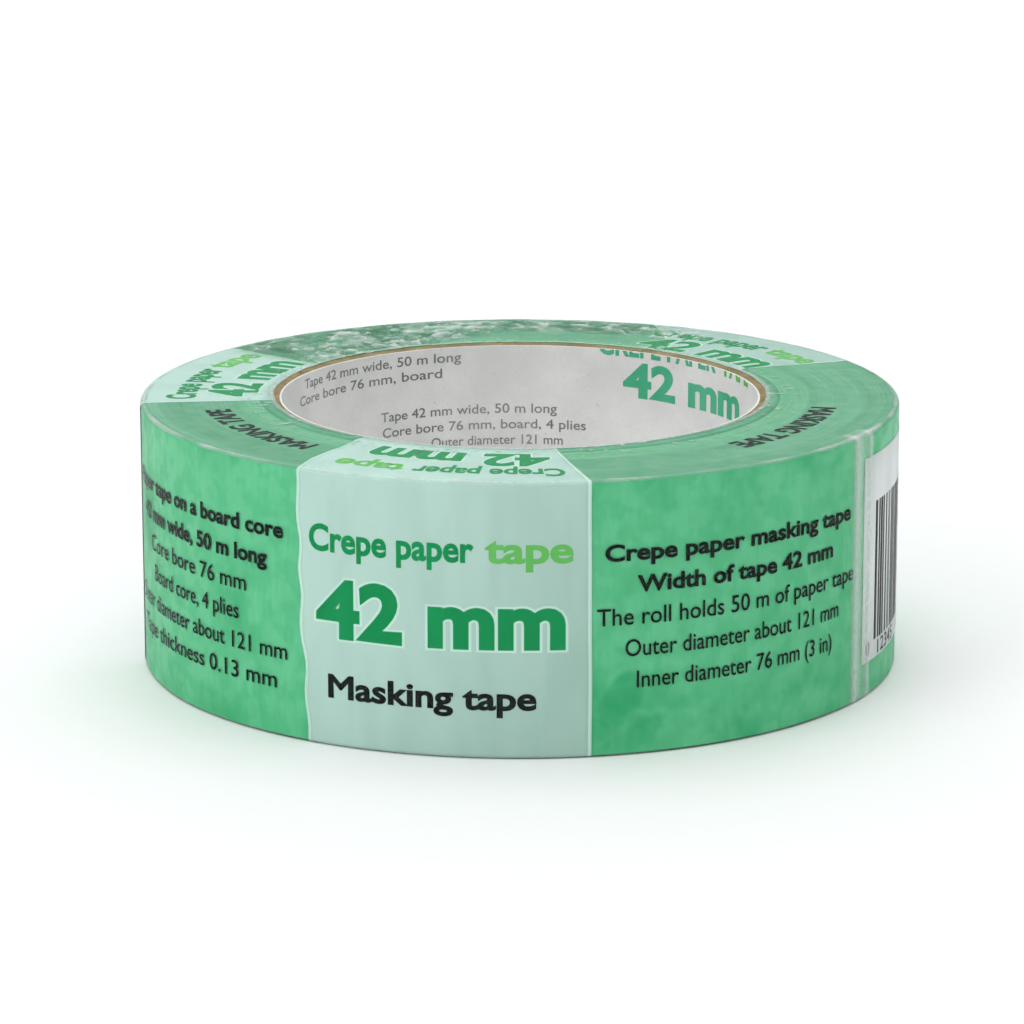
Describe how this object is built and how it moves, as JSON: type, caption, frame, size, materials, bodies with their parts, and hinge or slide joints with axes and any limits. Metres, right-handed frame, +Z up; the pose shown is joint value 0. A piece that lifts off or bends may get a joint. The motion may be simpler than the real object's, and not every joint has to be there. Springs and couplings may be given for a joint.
{
  "type": "masking tape roll",
  "caption": "Wide roll of green crepe masking tape on a spiral-wound paper core, sealed in a clear printed shrink film that folds over both faces and leaves the bore open.",
  "frame": {"origin": "centre of the roll's lower face, on the surface that it rests on", "axes": "+Z up along the axis of the core; -Y faces the side that carries the main printed panel, and +X is to the right of a viewer who faces that side"},
  "size_m": [0.1214, 0.1214, 0.0426],
  "materials": {
    "clear_film": "gloss",
    "green_tape": "matte",
    "kraft_board": "matte",
    "white_paper": "matte",
    "white_ink": "satin",
    "dark_green_ink": "satin",
    "light_green_ink": "satin",
    "black_ink": "satin",
    "grey_ink": "matte"
  },
  "bodies": {
    "root": {"shrink_film": "clear_film", "tape_outer_turn": "green_tape", "tape_pack": "green_tape", "core_ply_4": "kraft_board", "core_ply_3": "kraft_board", "core_ply_2": "kraft_board", "core_ply_1": "kraft_board", "core_liner": "white_paper"}
  },
  "joints": []
}
